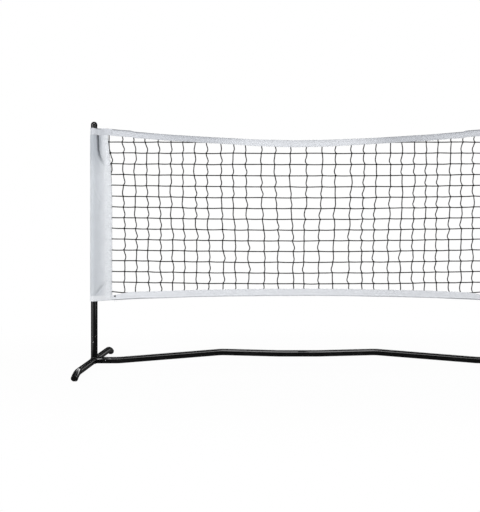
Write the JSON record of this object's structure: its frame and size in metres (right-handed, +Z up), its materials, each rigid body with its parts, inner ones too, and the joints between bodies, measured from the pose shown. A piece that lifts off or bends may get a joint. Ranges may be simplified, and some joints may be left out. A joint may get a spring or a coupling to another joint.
{
  "type": "pickleball portable net",
  "caption": "Free-standing portable net: knotted mesh with taped edges and side sleeves on two tube posts with bent tube feet and an arched base rail.",
  "frame": {"origin": "on the floor, under the middle of the net", "axes": "+X along the net to the right, -Y the front, +Z up"},
  "size_m": [1.5954, 0.56, 0.94],
  "materials": {
    "black_coat": "gloss black powder coat on steel tube",
    "black_plastic": "moulded black plastic",
    "button_steel": "plated steel",
    "spring_steel": "spring steel strip",
    "sleeve_cloth": "white woven nylon",
    "tape_cloth": "white vinyl-faced tape",
    "net_twine": "knotted dark grey twine",
    "edge_cord": "white braided cord",
    "eyelet_metal": "dark plated eyelet"
  },
  "bodies": {
    "frame": {"left_foot_tube": "black_coat", "right_foot_tube": "black_coat", "left_foot_front_plug": "black_plastic", "right_foot_front_plug": "black_plastic", "left_foot_back_plug": "black_plastic", "right_foot_back_plug": "black_plastic", "left_post_socket": "black_coat", "right_post_socket": "black_coat", "left_rail_socket": "black_coat", "right_rail_socket": "black_coat", "left_post_tube": "black_coat", "right_post_tube": "black_coat", "left_post_cap": "black_plastic", "right_post_cap": "black_plastic", "left_post_spring": "spring_steel", "right_post_spring": "spring_steel", "left_rail_spring": "spring_steel", "right_rail_spring": "spring_steel", "left_rail_tube": "black_coat", "right_rail_tube": "black_coat"},
    "net": {"net_mesh": "net_twine", "top_band": "tape_cloth", "bottom_band": "tape_cloth", "top_cord": "edge_cord", "bottom_cord": "edge_cord", "left_sleeve": "sleeve_cloth", "right_sleeve": "sleeve_cloth", "left_tape_loop": "tape_cloth", "right_tape_loop": "tape_cloth", "left_eyelet": "eyelet_metal", "right_eyelet": "eyelet_metal"},
    "left_post_button": {"left_post_button": "button_steel"},
    "left_rail_button": {"left_rail_button": "button_steel"},
    "right_post_button": {"right_post_button": "button_steel"},
    "right_rail_button": {"right_rail_button": "button_steel"}
  },
  "joints": [
    {"name": "net_lift", "type": "slide", "parent": "frame", "child": "net", "axis": [0, 0, 1], "range_m": [-0.145, 0.69]},
    {"name": "left_post_button_press", "type": "slide", "parent": "frame", "child": "left_post_button", "axis": [0, 1, 0], "range_m": [0, 0.0046], "stiffness_N_per_m": 1000, "springref_m": -0.002, "deforming": ["left_post_spring"]},
    {"name": "left_rail_button_press", "type": "slide", "parent": "frame", "child": "left_rail_button", "axis": [0, 1, 0], "range_m": [0, 0.0046], "stiffness_N_per_m": 1000, "springref_m": -0.002, "deforming": ["left_rail_spring"]},
    {"name": "right_post_button_press", "type": "slide", "parent": "frame", "child": "right_post_button", "axis": [0, 1, 0], "range_m": [0, 0.0046], "stiffness_N_per_m": 1000, "springref_m": -0.002, "deforming": ["right_post_spring"]},
    {"name": "right_rail_button_press", "type": "slide", "parent": "frame", "child": "right_rail_button", "axis": [0, 1, 0], "range_m": [0, 0.0046], "stiffness_N_per_m": 1000, "springref_m": -0.002, "deforming": ["right_rail_spring"]}
  ]
}
